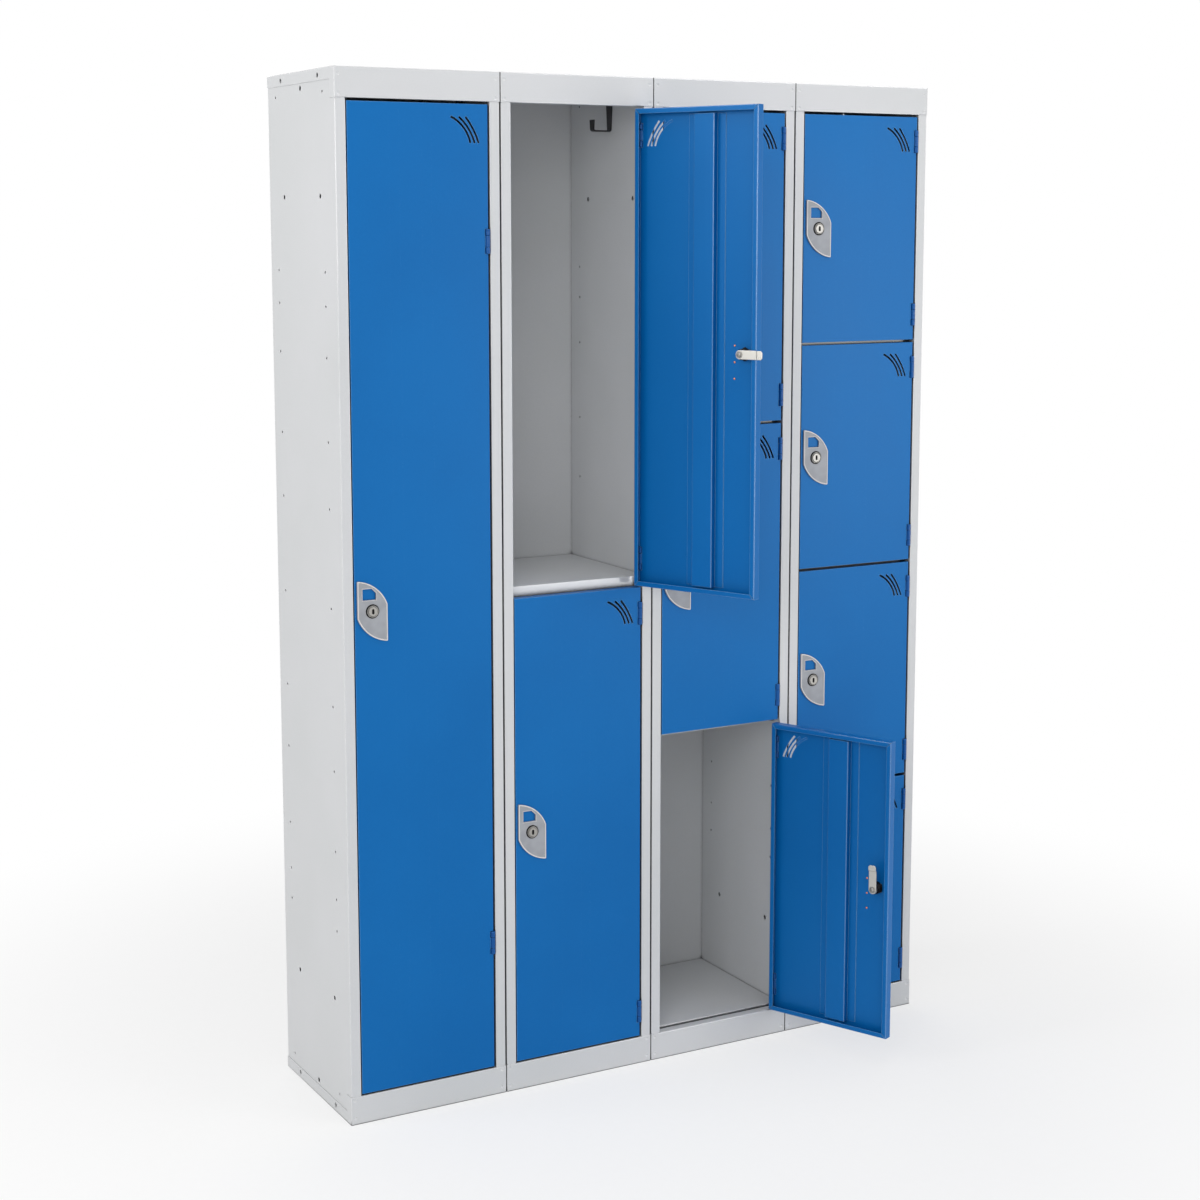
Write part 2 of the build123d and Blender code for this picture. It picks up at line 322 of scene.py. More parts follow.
def etched_plastic():
    material, shade, place, rounded, corner = start_finish("etched_grey_plastic", 0.6 * MM)
    etch = noise(shade, place, ETCH_SCALE, 1.0)
    flow = noise(shade, place, FLOW_SCALE, 2.0)
    height = shade.node("ShaderNodeSeparateXYZ", {}, {0: place}, output="Z")
    # The raised rim is painted paler by its height: a painted highlight.
    rim_highlight = height.between(*RIM_HIGHLIGHT_LEVELS)
    field = flow.between(0.35, 0.65).blend(display(148, 151, 157), display(157, 160, 166))
    colour = (rim_highlight * 0.9).blend(field, display(226, 220, 215))
    # Edges blended towards a pale tone: a painted highlight.
    edge_highlighted = (corner * 0.5).blend(colour, display(232, 228, 225))
    roughness = 0.46 + etch * 0.12 - rim_highlight * 0.12
    normal = bumped(shade, 0.12, 0.15 * MM, etch, rounded)
    close_finish(shade, edge_highlighted, roughness, normal)
    return material


def plated(name, dark, light, low_rough, high_rough, lines, edge=0.4, reach=0.35 * MM):
    """Plated metal: mottled, paler at the edges as a painted highlight, with faint rubbing lines
    along one axis.
    """
    material, shade, place, rounded, corner = start_finish(name, reach)
    along = shade.node("ShaderNodeVectorMath", {"operation": "MULTIPLY"}, {0: place, 1: lines})
    rubbed = noise(shade, along, RUB_SCALE, 3.0, 0.6)
    mottle = noise(shade, place, MOTTLE_SCALE, 3.0)
    # Edges blended towards the light tone: a painted highlight.
    colour = (mottle * (1 - edge) + corner * edge).between(0.3, 0.8).blend(dark, light)
    roughness = low_rough + (rubbed * 0.6 + mottle * 0.4) * (high_rough - low_rough)
    normal = bumped(shade, 0.05, 0.1 * MM, rubbed, rounded)
    close_finish(shade, colour, roughness, normal, {"Metallic": 1.0})
    return material


def black_dip(name, dark, light, gloss, shine):
    """A thick dark skin, a little paler at its edges, as a painted highlight."""
    material, shade, place, rounded, corner = start_finish(name, 0.8 * MM)
    drip = noise(shade, place, DRIP_SCALE, 3.0)
    grain = noise(shade, place, DIP_GRAIN, 2.0)
    # Edges blended towards the light tone: a painted highlight.
    colour = (corner * 0.7 + drip * 0.2).blend(dark, light)
    roughness = gloss + drip * 0.12 + grain * 0.08
    normal = bumped(shade, 0.15, 0.25 * MM, grain, rounded)
    close_finish(shade, colour, roughness, normal, {"Specular IOR Level": shine})
    return material


plate_plastic = etched_plastic()
nickels = display(152, 150, 146), display(206, 204, 200)
nickel = plated("nickel_plate", *nickels, 0.34, 0.50, (1, 0.06, 1))
bright_zincs = display(200, 197, 189), display(248, 245, 235)
cam_zinc = plated("bright_zinc", *bright_zincs, 0.26, 0.46, (1, 1, 0.05), 0.7, 1.2 * MM)
zinc = plated("dark_zinc", display(30, 30, 32), display(104, 103, 100), 0.22, 0.44, EVEN)
coppers = display(238, 138, 96), display(254, 182, 140)
copper = plated("copper_plate", *coppers, 0.30, 0.46, EVEN)
hook_black = black_dip("black_dip", display(20, 20, 22), display(50, 50, 54), 0.30, 0.5)
# This black is painted shade, for the dark groove round the lock ring and the dark keyway.
seal_shade_black = black_dip("shade_black_rubber", display(6, 6, 7), display(18, 18, 20), 0.62, 0.12)
lock_finishes = (plate_plastic, nickel, cam_zinc, zinc, copper, hook_black, seal_shade_black)
print("lock finishes:", [finish.name for finish in lock_finishes])

# %% [markdown]
# ## Finding the folds
# The CAD sheets are plain at most folds, so each sheet is copied, its flat faces are joined up
# again, and its folds are looked for. A fold is told from a cut edge by its neighbours: beside a
# fold both sheets go on for some way, but a cut edge is only a sheet thick. That is tested at
# several spots, because one long edge can be both.

# %% Copy a sheet and find its folds
SAME = 0.001 * MM
NARROW = 2.5 * MM
LEAST_FOLD = 25 * MM
NEAR_ENDS = (0.5 * MM, 1.5 * MM, 3 * MM)
FLAT = math.radians(1)
FOLD_ANGLE = math.radians(60)


def plane_of(face):
    """A key shared by all the faces that lie in one plane."""
    return (*(round(c, 2) for c in face.normal), round(face.normal.dot(face.verts[0].co) / MM, 1))


def goes_on(edge, face, planes):
    """True if there is sheet beside the whole edge, in the plane of this face."""
    loop = next(loop for loop in face.loops if loop.edge == edge)
    start, end = loop.vert.co, loop.link_loop_next.vert.co
    along = (end - start).normalized()
    inwards = face.normal.cross(along) * NARROW
    spots = [(start + end) / 2]
    for step in NEAR_ENDS:
        spots += [start + along * step, end - along * step]
    touch = bmesh.geometry.intersect_face_point
    return all(any(touch(f, spot + inwards) for f in planes[plane_of(face)]) for spot in spots)


def is_fold(edge, planes):
    if len(edge.link_faces) != 2 or edge.calc_length() < LEAST_FOLD:
        return False
    if edge.calc_face_angle_signed() < FOLD_ANGLE:
        return False
    return all(goes_on(edge, face, planes) for face in edge.link_faces)


def welded(node):
    """A copy of a CAD node's mesh with its split vertices joined and its flat faces whole."""
    bm = bmesh.new()
    bm.from_mesh(frame["nodes"][node].data)
    bmesh.ops.remove_doubles(bm, verts=bm.verts, dist=SAME)
    bmesh.ops.dissolve_limit(bm, angle_limit=FLAT, verts=bm.verts, edges=bm.edges)
    return bm


sample = welded("top_cap_1")
print("flat faces of a cap, joined up:", len(sample.faces))
sample.free()

# %% [markdown]
# ## Rounding the folds
# A press brake leaves a small radius on the outside of each fold, and that radius is what draws the
# bright line along a locker's edges. A Bevel modifier would round the cut edges too, so only the
# folds are bevelled here. Their new faces take the mesh's second finish, the glossier paint, which
# on the grey sheets also paints stronger shade in narrow gaps.

# %% Round the folds and set the pieces
FOLD_RADIUS = 1.4 * MM
FOLD_STEPS = 3
SOFT_ANGLE = math.radians(38)


def bevel_round(bm, edges, radius, steps, finish):
    """Round these edges, and give the new faces this finish, or -1 for that of their neighbours."""
    bmesh.ops.bevel(
        bm,
        geom=edges,
        offset=radius,
        offset_type="OFFSET",
        segments=steps,
        profile=0.5,
        affect="EDGES",
        clamp_overlap=False,
        material=finish,
    )


def round_folds(bm, node):
    """Bevel the folds of a copied node, and keep the result inside the node's own box."""
    planes = {}
    for face in bm.faces:
        planes.setdefault(plane_of(face), []).append(face)
    folds = [edge for edge in bm.edges if is_fold(edge, planes)]
    bevel_round(bm, folds, FOLD_RADIUS, FOLD_STEPS, 1)
    low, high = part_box(node)
    for vert in bm.verts:
        vert.co = [min(max(c, a), b) for c, a, b in zip(vert.co, low, high)]
    return len(folds)


def soften(bm):
    """Smooth shading, broken at the edges that are really sharp."""
    for face in bm.faces:
        face.smooth = True
    for edge in bm.edges:
        sharp = len(edge.link_faces) != 2 or edge.calc_face_angle(0) > SOFT_ANGLE
        edge.smooth = not sharp


def as_mesh(bm, name, *finishes):
    """A softened mesh with one finish, or with a second one for its folds."""
    soften(bm)
    mesh = bpy.data.meshes.new(name)
    bm.to_mesh(mesh)
    bm.free()
    for finish in finishes:
        mesh.materials.append(finish)
    return mesh


def set_piece(name, mesh, body, place=Matrix()):
    """Put a mesh in the scene on a body of the frame."""
    piece = bpy.data.objects.new(name, mesh)
    bpy.context.scene.collection.objects.link(piece)
    piece.matrix_world = place
    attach(piece, body)
    even = piece.modifiers.new("even_shading", "WEIGHTED_NORMAL")
    even.keep_sharp = True
    return piece


print("folds are rounded by", round(FOLD_RADIUS / MM, 1), "mm in", FOLD_STEPS, "steps")

# %% [markdown]
# ## Punching holes
# Every side sheet is punched for its neighbours, its shelves and its hook before it is folded. All
# holes of a sheet are joined into one cutter, because one exact Boolean is faster and cleaner than
# thirty. Spot welds leave shallow dimples, so they are cut with a flattened ball in the same way.

# %% The punch
PUNCH_STEPS = 18
PUNCH_LENGTH = 5 * MM


def circle(radius, steps=40):
    turn = 2 * math.pi / steps
    return [(radius * math.cos(k * turn), radius * math.sin(k * turn)) for k in range(steps)]


def add_pin(bm, centre, radius):
    """A round punch through a wall, along x."""
    bmesh.ops.create_cone(
        bm,
        cap_ends=True,
        segments=PUNCH_STEPS,
        radius1=radius,
        radius2=radius,
        depth=PUNCH_LENGTH,
        matrix=Matrix.Translation(centre) @ Matrix.Rotation(math.pi / 2, 4, "Y"),
    )


def add_dimple(bm, centre, radius, depth):
    """A ball flattened along y, whose cap presses a shallow round mark into a front face."""
    bmesh.ops.create_uvsphere(
        bm,
        u_segments=16,
        v_segments=12,
        radius=radius,
        matrix=Matrix.Translation(centre) @ Matrix.Diagonal((1, depth / radius, 1, 1)),
    )


def join_rings(bm, rings):
    """Faces from each ring to the next. A ring that is a single point gives triangles."""
    faces = []
    for low, high in zip(rings, rings[1:]):
        for step in range(len(low)):
            after = (step + 1) % len(low)
            corners = dict.fromkeys((low[step], low[after], high[after], high[step]))
            if len(corners) > 2:
                faces.append(bm.faces.new(list(corners)))
    return faces


def cut_away(mesh, cutter):
    """The mesh with everything inside the cutter removed."""
    tool_mesh = bpy.data.meshes.new("punch")
    cutter.to_mesh(tool_mesh)
    cutter.free()
    tool = bpy.data.objects.new("punch", tool_mesh)
    blank = bpy.data.objects.new("blank", mesh)
    for thing in (tool, blank):
        bpy.context.scene.collection.objects.link(thing)
    cut = blank.modifiers.new("cut", "BOOLEAN")
    cut.operation = "DIFFERENCE"
    cut.solver = "EXACT"
    cut.object = tool
    seen = bpy.context.evaluated_depsgraph_get()
    made = bpy.data.meshes.new_from_object(blank.evaluated_get(seen))
    for thing in (blank, tool):
        bpy.data.objects.remove(thing)
    bm = bmesh.new()
    bm.from_mesh(made)
    soften(bm)
    bm.to_mesh(made)
    bm.free()
    return made


print("punch:", PUNCH_STEPS, "sides,", round(PUNCH_LENGTH / MM), "mm long")

# %% [markdown]
# ## Side sheets
# Each side is one sheet: back return, wall, stile, jamb and hem. The rows of small holes take the
# shelf supports of any layout, the larger pairs take the bolts to the next locker, and one large
# hole at each end takes a hook. In the frame only the two end walls have the bolt holes. The pairs
# next to the ends meet the holes in the aprons of the cap and the base.

# %% Punch the side sheets
SHEET = 1 * MM
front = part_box("left_side_1")[0].y - SHEET
SMALL_HOLE = 2.4 * MM
LARGE_HOLE = 4.3 * MM
SHELF_ROWS = [54 * MM, 268.5 * MM]
SHELF_HEIGHTS = [38, 333.3, 390, 475, 616.7, 730, 900, 1070, 1183.3, 1325, 1410, 1466.7, 1762]
NEST_ROWS = [70 * MM, 235 * MM]
NEST_HEIGHTS = [208, 1592]
HOOK_ROW = 152.5 * MM
HOOK_HEIGHTS = [28.5, 1772]
APRON_ROWS = [72 * MM, 241 * MM]
APRON_HEIGHTS = [11, 1789]
BENT = 0.05
HOLLOW = -0.01


def wall_holes(wall_x, with_nest):
    holes = [(y, z, SMALL_HOLE) for y in SHELF_ROWS for z in SHELF_HEIGHTS]
    holes += [(HOOK_ROW, z, LARGE_HOLE) for z in HOOK_HEIGHTS]
    holes += [(y, z, LARGE_HOLE) for y in APRON_ROWS for z in APRON_HEIGHTS]
    if with_nest:
        holes += [(y, z, LARGE_HOLE) for y in NEST_ROWS for z in NEST_HEIGHTS]
    cutter = bmesh.new()
    for y, z, radius in holes:
        add_pin(cutter, (wall_x, front + y, z * MM), radius)
    return cutter


def gloss_and_shade_bends(bm):
    """Fold paint on the outside of the bends, whose upright faces look two ways at once; it paints
    stronger shade where they line the seams.
    """
    for face in bm.faces:
        bent = min(abs(face.normal.x), abs(face.normal.y)) > BENT
        if bent and all(edge.calc_face_angle_signed(0) > HOLLOW for edge in face.edges):
            face.material_index = 1
    return bm


for locker in lockers:
    for hand, ends in (("left", "1"), ("right", lockers[-1])):
        node = f"{hand}_side_{locker}"
        low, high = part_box(node)
        wall_x = low.x if hand == "left" else high.x
        sheet = as_mesh(gloss_and_shade_bends(welded(node)), node + "_punched", grey_coat, grey_folds)
        punched = cut_away(sheet, wall_holes(wall_x, locker not in ends))
        piece = set_piece(node + "_punched", punched, "carcass")
        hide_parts(node)
print("side sheets:", 2 * len(lockers), "faces each:", len(punched.polygons))

# %% [markdown]
# ## Caps and base trays
# The cap and the base are the same pressing, one turned over. Its side aprons have two large holes,
# and its front is spot welded to the stiles, which leaves small dimples near the ends. The upright
# front corners are filed a little, and that opens the dark seam between one locker and the next.
# Their fold paint darkens that seam further with painted shade.

# %% Fold and punch the caps and base trays
WELD_RADIUS = 3.0 * MM
WELD_DEPTH = 0.7 * MM
WELD_FROM_END = 8 * MM
SILL_SIDE_GAP = 0.2 * MM
WELD_LEVELS = [12 * MM, 44 * MM]
FACING = 0.9
LEVEL_SLACK = 0.1 * MM
CORNER_WIDTH = 0.8 * MM
CORNER_DEPTH = 2.0 * MM
FILED = 0.3
UPRIGHT = 0.01
BEYOND = 1 * MM


def add_wedge(bm, corner_x, inwards, low, high):
    """A tall wedge that takes off one upright front corner."""
    width, depth = inwards * CORNER_WIDTH, CORNER_DEPTH
    plan = [(1.5 * width, -0.5 * depth), (-0.5 * width, 1.5 * depth), (-0.5 * width, -0.5 * depth)]
    rings = []
    for level in (low.z - BEYOND, high.z + BEYOND):
        rings.append([bm.verts.new((corner_x + x, low.y + y, level)) for x, y in plan])
    faces = [bm.faces.new(ring) for ring in rings] + join_rings(bm, rings)
    bmesh.ops.recalc_face_normals(bm, faces=faces)


def apron_marks(low, high, outer, inward):
    """Cutter for one cap or base: outer is its flat face's height, inward points to the locker."""
    cutter = bmesh.new()
    for x in (low.x, high.x):
        for y in APRON_ROWS:
            centre = (x, front + y, outer + inward * APRON_HEIGHTS[0] * MM)
            add_pin(cutter, centre, LARGE_HOLE)
    for x in (low.x + WELD_FROM_END, high.x - WELD_FROM_END):
        for level in WELD_LEVELS:
            centre = (x, low.y, outer + inward * level)
            add_dimple(cutter, centre, WELD_RADIUS, WELD_DEPTH)
    add_wedge(cutter, low.x, 1, low, high)
    add_wedge(cutter, high.x, -1, low, high)
    return cutter


def gloss_and_shade_corners(mesh):
    """Fold paint on the filed corners, which are upright and face forwards and sideways; it paints
    stronger shade in the seam.
    """
    for face in mesh.polygons:
        x, y, z = (abs(c) for c in face.normal)
        if min(x, y) > FILED and z < UPRIGHT:
            face.material_index = 1


def part_sill(bm, locker, level):
    """Split the flat edge of the apron where the sill begins, so that only the sill gets a fold."""
    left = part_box("left_side_" + locker)[1].x + SILL_SIDE_GAP
    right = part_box("right_side_" + locker)[0].x - SILL_SIDE_GAP
    for x in (left, right):
        level_faces = [face for face in bm.faces if abs(face.normal.z) > FACING]
        flat = [f for f in level_faces if abs(f.calc_center_median().z - level) < LEVEL_SLACK]
        around = dict.fromkeys(part for face in flat for part in (*face.edges, *face.verts))
        cut = {"plane_co": (x, 0, 0), "plane_no": (1, 0, 0), "dist": 0.01 * MM}
        bmesh.ops.bisect_plane(bm, geom=flat + list(around), **cut)


for locker in lockers:
    for kind, inward in (("top_cap", -1), ("base_tray", 1)):
        node = f"{kind}_{locker}"
        low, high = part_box(node)
        bm = welded(node)
        part_sill(bm, locker, low.z if inward < 0 else high.z)
        folds = round_folds(bm, node)
        folded = as_mesh(bm, node + "_folded", grey_coat, grey_folds)
        outer = high.z if inward < 0 else low.z
        made = cut_away(folded, apron_marks(low, high, outer, inward))
        gloss_and_shade_corners(made)
        piece = set_piece(node + "_folded", made, "carcass")
        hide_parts(node)
print("caps and bases:", 2 * len(lockers), "fold edges in the last:", folds)

# %% [markdown]
# ## Trays
# The compartment floors and shelves are shallow trays between the walls. Only their rounded front
# fold shows, so they get the same treatment with nothing cut. The front lip gets the fold paint,
# which paints stronger shade in narrow gaps, such as where the lip meets a door's top edge.

# %% Round the trays
trays = [n for n in frame["nodes"] if n.startswith(("floor_tray", "shelf", "shelves"))]
for node in sorted(trays):
    bm = welded(node)
    round_folds(bm, node)
    for face in bm.faces:
        # The lip takes the fold paint, with its stronger painted shade in gaps.
        if face.normal.y < -FACING:
            face.material_index = 1
    folded = as_mesh(bm, node + "_folded", grey_coat, grey_folds)
    piece = set_piece(node + "_folded", folded, "carcass")
    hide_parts(node)
print("trays:", sorted(trays))

# %% [markdown]
# ## Knuckles
# Each hinge has two knuckles on the frame, with one of the door's between them. Their ends are a
# little eased, so that the splits between them catch the light. They are part of larger sheets, so
# instead of a bevel, a ring with one sloping face is cut away round each end.

# %% Rims for the ends of the knuckles
KNUCKLE_RADIUS = 4.3 * MM
ROUND_PIN = KNUCKLE_RADIUS + 0.05 * MM
KNUCKLE_GAP = 0.3 * MM
KNUCKLE_EASE = 0.8 * MM
PAST = 0.2 * MM
RIM_STEPS = 32


def hinge_ends(door):
    """Heights where the frame's knuckles end, four for each hinge of a door, from the bottom up."""
    pin = Vector(hinge_joints[door]["pos_m"]).xy
    low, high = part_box("door_" + door)
    heights = set()
    for vert in frame["nodes"]["hinge_leaves"].data.vertices:
        if low.z < vert.co.z < high.z and (vert.co.xy - pin).length < ROUND_PIN:
            heights.add(round(vert.co.z, 4))
    return sorted(heights)


def add_rim(bm, door, height, outwards):
    """A ring whose sloping face eases the round end of a knuckle at this height."""
    pin_x, pin_y, _ = hinge_joints[door]["pos_m"]
    profile = [(KNUCKLE_RADIUS - KNUCKLE_EASE - PAST, PAST), (KNUCKLE_RADIUS + PAST, PAST)]
    profile.append((KNUCKLE_RADIUS + PAST, -KNUCKLE_EASE - PAST))
    rings = []
    for radius, rise in profile:
        level = height + outwards * rise
        spots = [(pin_x + x, pin_y + y, level) for x, y in circle(radius, RIM_STEPS)]
        rings.append([bm.verts.new(spot) for spot in spots])
    bmesh.ops.recalc_face_normals(bm, faces=join_rings(bm, rings + rings[:1]))


def ease_knuckles(bm, door):
    """Add the rims for the door's own knuckles, which stand between those of the frame."""
    ends = hinge_ends(door)
    for first, last in zip(ends[1::4], ends[2::4]):
        add_rim(bm, door, first + KNUCKLE_GAP, -1)
        add_rim(bm, door, last - KNUCKLE_GAP, 1)


print("frame knuckles of door 1a end at", hinge_ends("1a"), "m")

# %% [markdown]
# ## Doors
# A door is a shallow pan with its lips turned in all round. The lips are mitred where they meet,
# and the thin slit of each mitre shows on the inside of an open door. The slits are cut by four
# narrow blades, placed on the closed door and swung with it.

# %% Fold the doors and cut their mitres
MITRE_WIDTH = 0.7 * MM
MITRE_REACH = 9.2 * MM
MITRE_DEPTH = 1.6 * MM
LIP_SLACK = 0.5 * MM
FRONT_FOLDS = 14 * MM


def mitre_blades(door):
    """Four thin blades across the corners of the lips, in the door's resting place."""
    swing = door_swing(door)
    corners = [swing.inverted() @ v.co for v in frame["nodes"]["door_" + door].data.vertices]
    back = max(c.y for c in corners)
    lip = [c for c in corners if c.y > back - LIP_SLACK]
    low_x, high_x = min(c.x for c in lip), max(c.x for c in lip)
    low_z, high_z = min(c.z for c in lip), max(c.z for c in lip)
    cutter = bmesh.new()
    for x, side in ((low_x, 1), (high_x, -1)):
        for z, rise in ((low_z, 1), (high_z, -1)):
            middle = (x + side * MITRE_REACH / 2, back, z + rise * MITRE_REACH / 2)
            tilt = Matrix.Rotation(-math.pi / 4 * side * rise, 4, "Y")
            size = Matrix.Diagonal((MITRE_REACH * math.sqrt(2), 2 * MITRE_DEPTH, MITRE_WIDTH, 1))
            place = swing @ Matrix.Translation(middle) @ tilt @ size
            bmesh.ops.create_cube(cutter, size=1, matrix=place)
    return cutter


def paint_edges(mesh, door):
    """Hinge paint round the pin, a darker copy of the blue that is painted shade, and plain paint
    on the front folds, which people rub dull.
    """
    mesh.materials.append(shaded_hinge_coat)
    pin = Vector(hinge_joints[door]["pos_m"]).xy
    closed = door_swing(door).inverted()
    back = max((closed @ vert.co).y for vert in mesh.vertices)
    for face in mesh.polygons:
        reach = max((mesh.vertices[v].co.xy - pin).length for v in face.vertices)
        if reach < ROUND_PIN:
            face.material_index = 2
        elif (closed @ face.center).y < back - FRONT_FOLDS:
            face.material_index = 0


for door in doors:
    node = "door_" + door
    bm = welded(node)
    folds = round_folds(bm, node)
    folded = as_mesh(bm, node + "_folded", blue_coat, blue_folds)
    blades = mitre_blades(door)
    ease_knuckles(blades, door)
    made = cut_away(folded, blades)
    paint_edges(made, door)
    piece = set_piece(node + "_folded", made, node)
    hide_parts(node)
print("doors:", len(doors), "fold edges in the last:", folds)

# %% [markdown]
# ## Hinge leaves
# The frame's half of each hinge is a leaf with its two knuckles. Their ends are eased like the
# door's, all in one cut.

# %% Ease the hinge leaves
rims = bmesh.new()
hinges = 0
for door in doors:
    ends = hinge_ends(door)
    hinges += len(ends) // 4
    for number, height in enumerate(ends):
        add_rim(rims, door, height, 1 if number % 2 else -1)
# The leaves take the darker hinge paint, which is painted shade.
leaves = as_mesh(welded("hinge_leaves"), "hinge_leaves_eased", shaded_hinge_coat)
eased = cut_away(leaves, rims)
piece = set_piece("hinge_leaves_eased", eased, "carcass")
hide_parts("hinge_leaves")
print("hinge leaves:", hinges, "faces:", len(eased.polygons))

# %% [markdown]
# ## Grip plates
# Round each lock sits a moulded plate like a leaf. Two of its sides are swept into shallow arcs.
# Half of the outline is drawn and turned about for the other half. The same outline drawn further
# in has the same number of points, so the steps of a raised rim can be joined point to point.

# %% Outline of the plate
plate_low, plate_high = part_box("lock_plate_1a")
PLATE_WIDTH = plate_high.x - plate_low.x
PLATE_HEIGHT = plate_high.z - plate_low.z
PLATE_THICK = plate_high.y - plate_low.y
PLATE_TIP = 52.75 * MM
PLATE_SWEEP = 41.5 * MM
PLATE_BULGE = 9.9 * MM
TIP_RADIUS = 1.5 * MM
SHOULDER_RADIUS = 8 * MM
LEAST_CORNER = 0.3 * MM
SWEEP_STEPS = 16
CORNER_STEPS = 6


def half_outline():
    """Sharp points from the right shoulder along the swept side to the tip at the top left."""
    tip = Vector((-PLATE_WIDTH / 2, PLATE_TIP))
    shoulder = Vector((PLATE_WIDTH / 2, PLATE_TIP - PLATE_SWEEP))
    chord = tip - shoulder
    half = chord.length / 2
    radius = (half * half + PLATE_BULGE * PLATE_BULGE) / (2 * PLATE_BULGE)
    outwards = Vector((chord.y, -chord.x)).normalized()
    centre = (tip + shoulder) / 2 - outwards * (radius - PLATE_BULGE)
    spread = 2 * math.asin(half / radius)
    first = math.atan2(*(shoulder - centre).yx)
    angles = [first + spread * step / SWEEP_STEPS for step in range(SWEEP_STEPS + 1)]
    return [(centre.x + radius * math.cos(a), centre.y + radius * math.sin(a)) for a in angles]


def drawn_out(points, distance):
    """A convex outline, anticlockwise, with every side moved outwards."""
    moved = []
    for before, here, after in zip(points[-1:] + points[:-1], points, points[1:] + points[:1]):
        first = (Vector(here) - Vector(before)).normalized()
        second = (Vector(after) - Vector(here)).normalized()
        normals = Vector((first.y, -first.x)), Vector((second.y, -second.x))
        middle = (normals[0] + normals[1]).normalized()
        moved.append(Vector(here) + middle * distance / middle.dot(normals[0]))
    return [tuple(p) for p in moved]


def rounded_corner(before, here, after, radius):
    """Points on an arc that replaces one corner of an outline."""
    here = Vector(here)
    back = (Vector(before) - here).normalized()
    on = (Vector(after) - here).normalized()
    half = back.angle(on) / 2
    centre = here + (back + on).normalized() * radius / math.sin(half)
    first = here + back * radius / math.tan(half) - centre
    last = here + on * radius / math.tan(half) - centre
    shares = [step / CORNER_STEPS for step in range(CORNER_STEPS + 1)]
    return [tuple(centre + (first * (1 - t) + last * t).normalized() * radius) for t in shares]


def plate_outline(inset):
    """Points round the plate, anticlockwise, drawn in by inset and rounded at its four corners."""
    half = half_outline()
    sharp = drawn_out(half + [(-x, -y) for x, y in half], -inset)
    radii = {}
    for start in (0, len(half)):
        radii[start] = max(SHOULDER_RADIUS - inset, LEAST_CORNER)
        radii[start + SWEEP_STEPS] = max(TIP_RADIUS - inset, LEAST_CORNER)
    points = []
    for k, here in enumerate(sharp):
        after = sharp[(k + 1) % len(sharp)]
        points += rounded_corner(sharp[k - 1], here, after, radii[k]) if k in radii else [here]
    return points


print("plate:", [round(v / MM, 1) for v in (PLATE_WIDTH, PLATE_HEIGHT, PLATE_THICK)], "mm")

# %% [markdown]
# The plate is built from rings of points: a raised rim along the edge, a framed window in the upper
# part for a number card, and a dish with a hole for the lock. The flat field between them is filled
# in triangles.

# %% Mould the plate
RIM = 2.5 * MM
RIM_SLOPE = 0.8 * MM
RIM_ROUND = 0.9 * MM
RIM_BEND = 0.25 * MM
DISH = 3.0 * MM
WINDOW = [(-18, 19.6), (6.7, 19.6), (6.7, 30.8), (-1.3, 38.8), (-18, 38.8)]
WINDOW_RIM = 1.5 * MM
WINDOW_RISE = 0.6 * MM
WINDOW_ROUND = 0.3 * MM
WINDOW_LIP = 0.2 * MM
SLOPE = 0.4 * MM
LOCK_DISH = 12.4 * MM
LOCK_SEAT = 2.0 * MM
PLUG_HOLE = 8.08 * MM


def add_ring(bm, points, height):
    return [bm.verts.new((x, y, height)) for x, y in points]


def ring_edges(bm, ring):
    edges = []
    for first, second in zip(ring, ring[1:] + ring[:1]):
        edges.append(bm.edges.get((first, second)) or bm.edges.new((first, second)))
    return edges


def fill_between(bm, rings):
    edges = [edge for ring in rings for edge in ring_edges(bm, ring)]
    bmesh.ops.triangle_fill(bm, use_beauty=True, use_dissolve=False, edges=edges)


def moulded_plate():
    bm = bmesh.new()
    edge_steps = [(0, 0), (0, PLATE_THICK - RIM_ROUND), (RIM_BEND, PLATE_THICK - RIM_BEND)]
    edge_steps += [(RIM_ROUND, PLATE_THICK), (RIM - RIM_SLOPE, PLATE_THICK), (RIM, DISH)]
    rings = [add_ring(bm, plate_outline(inset), height) for inset, height in edge_steps]
    window = [(x * MM, y * MM) for x, y in WINDOW]
    window_steps = [(WINDOW_RIM, DISH), (WINDOW_RIM - SLOPE, DISH + WINDOW_RISE)]
    window_steps += [(WINDOW_ROUND, DISH + WINDOW_RISE), (0, DISH + WINDOW_LIP), (0, 0)]
    frame_rings = [add_ring(bm, drawn_out(window, out), height) for out, height in window_steps]
    lock_steps = [(LOCK_DISH, DISH), (LOCK_DISH - SLOPE, LOCK_SEAT)]
    lock_steps += [(PLUG_HOLE, LOCK_SEAT), (PLUG_HOLE, 0)]
    lock_rings = [add_ring(bm, circle(radius), height) for radius, height in lock_steps]
    for steps in (rings, frame_rings, lock_rings):
        join_rings(bm, steps)
    fill_between(bm, [rings[-1], frame_rings[0], lock_rings[0]])
    fill_between(bm, [rings[0], frame_rings[-1], lock_rings[-1]])
    bmesh.ops.recalc_face_normals(bm, faces=bm.faces)
    return as_mesh(bm, "grip_plate", plate_plastic)


plate_mesh = moulded_plate()
for door in doors:
    place = lock_place(door)
    piece = set_piece("grip_plate_" + door, plate_mesh, "door_" + door, place)
    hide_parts("lock_plate_" + door)
print("grip plates:", len(doors), "faces each:", len(plate_mesh.polygons))

# %% [markdown]
# ## A lathe
# Most small parts of a lock are turned shapes, so one function spins a profile about the lock's
# axis. A Screw modifier could do that too, but here a radius may also be a function of the angle,
# which gives the six sides of the nut and the cross in the screw's head from the same spin.

# %% The lathe
LATHE_STEPS = 36


